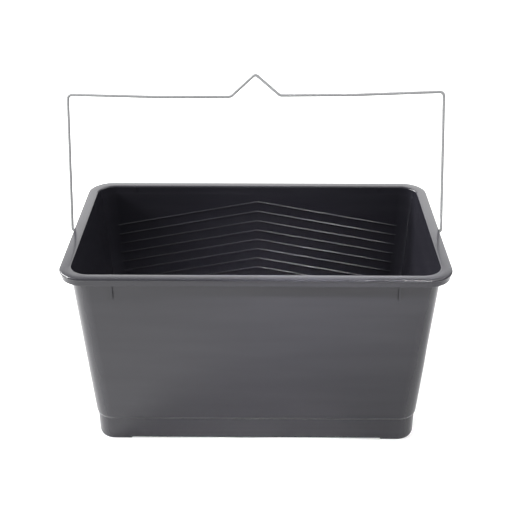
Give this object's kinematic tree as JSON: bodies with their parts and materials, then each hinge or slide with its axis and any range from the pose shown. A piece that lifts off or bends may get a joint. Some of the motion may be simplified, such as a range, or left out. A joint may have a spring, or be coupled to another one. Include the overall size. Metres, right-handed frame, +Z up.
{
  "type": "roller bucket",
  "caption": "Rectangular moulded paint roller bucket with chevron roll-off ribs inside the back wall and a folding wire handle bent to a hook peak.",
  "frame": {"origin": "on the floor under the middle of the bucket, at the underside of the feet", "axes": "+X along the long side and the handle's hinge axis, +Y towards the ribbed back wall, +Z up"},
  "size_m": [0.37, 0.212, 0.3363],
  "materials": {
    "tub_plastic": "satin moulded polypropylene",
    "galvanised_wire": "dull galvanised"
  },
  "bodies": {
    "bucket": {"bucket": "tub_plastic"},
    "handle": {"wire_handle": "galvanised_wire"}
  },
  "joints": [
    {"name": "handle_swing", "type": "hinge", "parent": "bucket", "child": "handle", "pos_m": [0, 0, 0.1915], "axis": [1, 0, 0], "range_deg": [-114, 154]}
  ]
}
